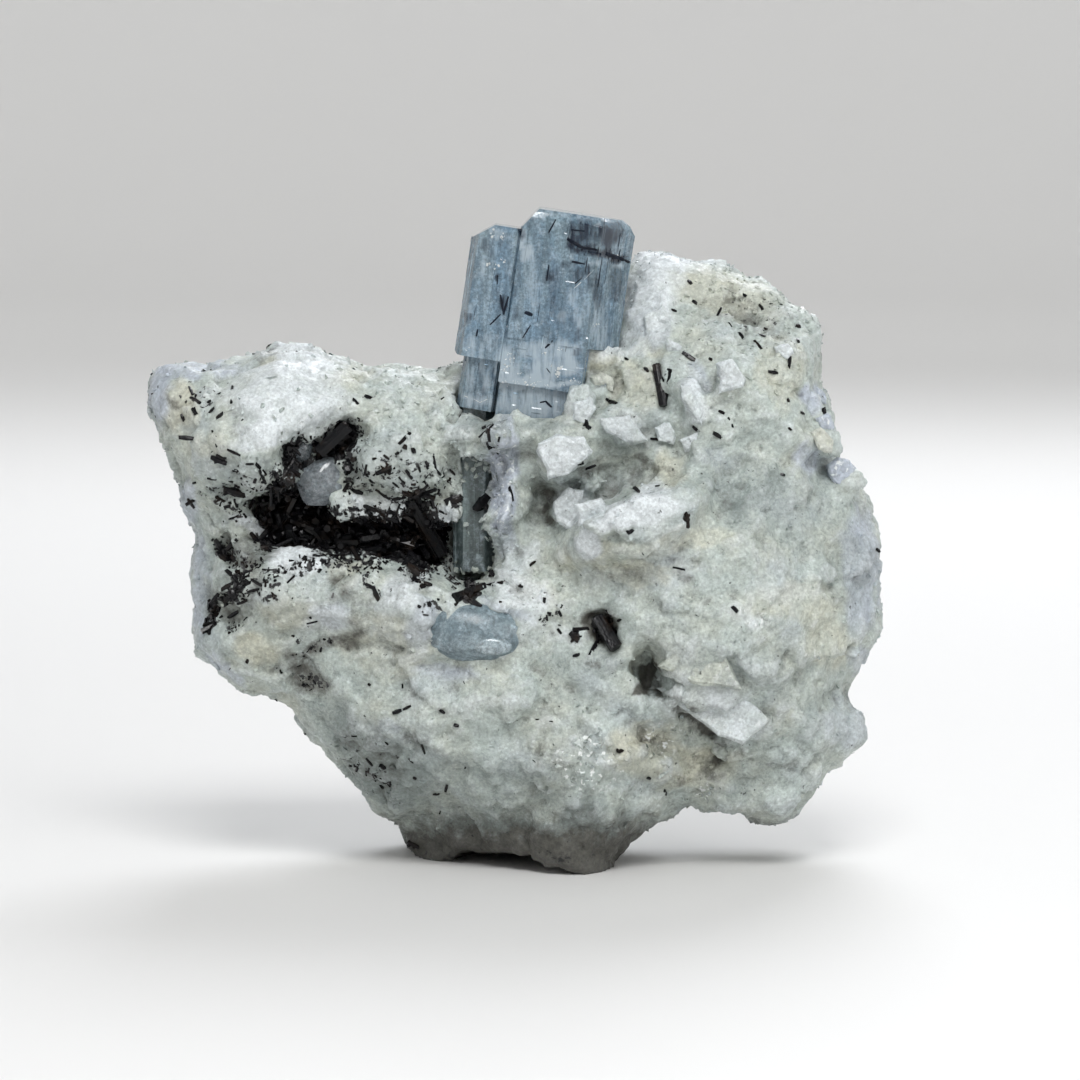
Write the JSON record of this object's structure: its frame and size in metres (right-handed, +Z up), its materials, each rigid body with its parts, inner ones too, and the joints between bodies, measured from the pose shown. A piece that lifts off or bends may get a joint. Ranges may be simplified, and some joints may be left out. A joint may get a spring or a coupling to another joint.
{
  "type": "aquamarine crystal on matrix",
  "caption": "Loose mineral specimen: a blue-grey aquamarine prism cluster on pale albite, with black schorl in a hollow; it rests on the flat of its base.",
  "frame": {"origin": "under the middle of the specimen's box, in the plane of its base", "axes": "+Z up, +X along its width, to the right of someone who faces the prisms and the hollow, which look towards -Y"},
  "size_m": [0.0668, 0.0372, 0.0595],
  "materials": {
    "albite": "sugary, broken",
    "aquamarine": "clear, striated",
    "schorl": "glossy",
    "quartz": "glassy"
  },
  "bodies": {
    "root": {"matrix": "albite", "aquamarine_cluster": "aquamarine", "aquamarine_bud": "aquamarine", "schorl_crust": "schorl", "schorl_big_prism": "schorl", "schorl_upper_prism": "schorl", "schorl_needle": "schorl", "schorl_low_prism": "schorl", "schorl_side_prism": "schorl", "quartz_grain": "quartz"}
  },
  "joints": []
}
